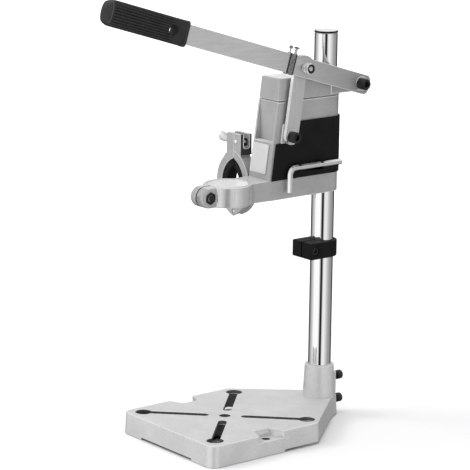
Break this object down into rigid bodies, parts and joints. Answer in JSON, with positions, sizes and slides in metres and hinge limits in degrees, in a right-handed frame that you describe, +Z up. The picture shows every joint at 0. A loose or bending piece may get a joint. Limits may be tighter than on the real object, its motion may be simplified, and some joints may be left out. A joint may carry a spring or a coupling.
{
  "type": "drill stand",
  "caption": "Bench drill stand: slotted cast base, round column, head with lever and link, sliding carriage with split drill collar, side clamp.",
  "frame": {"origin": "on the column's axis, on the plane that the base stands on", "axes": "+Z up along the column, -Y towards the front of the base and the lever's grip, +X towards the side with the lever and link"},
  "size_m": [0.16, 0.3533, 0.4879],
  "materials": {
    "cast": "satin cast",
    "cast_dark": "satin cast, darker",
    "chrome": "polished",
    "steel": "satin plated",
    "zinc": "bright zinc",
    "black_oxide": "black oxide",
    "black_plastic": "matt",
    "black_rubber": "matt",
    "pale_plate": "plain satin plate"
  },
  "bodies": {
    "base": {"base_plate": "cast", "socket_screw_upper": "black_oxide", "socket_screw_lower": "black_oxide"},
    "column": {"column_tube": "chrome", "column_cap": "black_plastic"},
    "stop": {"stop_collar": "black_oxide", "stop_collar_screw": "black_oxide"},
    "head": {"head_cap": "cast_dark", "head_clamp_screw": "black_oxide", "guide_post": "steel", "guide_post_nut": "steel", "return_spring": "steel", "pivot_screw": "black_oxide", "pivot_washer": "zinc", "pivot_spacer": "zinc", "pivot_nut": "black_oxide"},
    "carriage": {"carriage": "cast_dark", "side_cover": "black_plastic", "front_plate": "pale_plate", "collar_screw": "black_oxide", "collar_nut": "black_oxide", "link_lower_screw": "black_oxide", "link_lower_washer": "zinc", "clamp_swivel_screw": "black_oxide"},
    "lever": {"lever_bar": "steel", "lever_grip": "black_rubber", "lever_clip": "black_oxide", "clip_screw_front": "zinc", "clip_screw_rear": "zinc", "link_upper_bolt": "zinc", "link_upper_nut": "zinc", "link_lock_nut": "zinc", "link_upper_washer": "zinc"},
    "link": {"link_bar": "steel"},
    "clamp": {"clamp_inner_jaw": "cast_dark", "clamp_inner_lining": "black_rubber", "clamp_hinge_pin": "zinc", "clamp_eye_bolt": "zinc", "clamp_eye_pin": "zinc", "clamp_ear_plate": "black_plastic"},
    "clamp_jaw": {"clamp_outer_jaw": "cast_dark", "clamp_outer_lining": "black_rubber"},
    "wing_nut": {"clamp_wing_nut": "zinc"},
    "hex_key": {"hex_key": "zinc"}
  },
  "joints": [
    {"name": "column_turn", "type": "hinge", "parent": "base", "child": "column", "pos_m": [0, 0, 0], "axis": [0, 0, 1], "range_deg": [-90, 90]},
    {"name": "stop_height", "type": "slide", "parent": "column", "child": "stop", "axis": [0, 0, 1], "range_m": [-0.12, 0]},
    {"name": "head_height", "type": "slide", "parent": "column", "child": "head", "axis": [0, 0, 1], "range_m": [-0.05, 0.04]},
    {"name": "lever_turn", "type": "hinge", "parent": "head", "child": "lever", "pos_m": [0.0256, 0.0239, 0.3753], "axis": [1, 0, 0], "range_deg": [0, 38], "stiffness_Nm_per_rad": 2, "springref_deg": -68.75},
    {"name": "carriage_slide", "type": "slide", "parent": "head", "child": "carriage", "axis": [0, 0, -1], "range_m": [0, 0.056], "deforming": ["return_spring"]},
    {"name": "link_turn", "type": "hinge", "parent": "lever", "child": "link", "pos_m": [0.02, -0.0546, 0.399], "axis": [1, 0, 0], "range_deg": [-38, 0]},
    {"name": "clamp_swivel", "type": "hinge", "parent": "carriage", "child": "clamp", "pos_m": [-0.0438, -0.08375, 0.2675], "axis": [1, 0, 0], "range_deg": [-90, 90]},
    {"name": "wing_nut_travel", "type": "slide", "parent": "clamp", "child": "wing_nut", "axis": [-1, 0, 0], "range_m": [0, 0.008]},
    {"name": "clamp_open", "type": "hinge", "parent": "clamp", "child": "clamp_jaw", "pos_m": [-0.0425, -0.08375, 0.23638], "axis": [0, -1, 0], "range_deg": [0, 5.5]},
    {"name": "hex_key_out", "type": "slide", "parent": "carriage", "child": "hex_key", "axis": [1, 0, 0], "range_m": [0, 0.03]}
  ],
  "couplings": [
    {"joint": "carriage_slide", "follows": "lever_turn", "m_per_rad": 0.07994},
    {"joint": "link_turn", "follows": "lever_turn", "ratio": -0.98},
    {"joint": "clamp_open", "follows": "wing_nut_travel", "rad_per_m": 11.5}
  ]
}
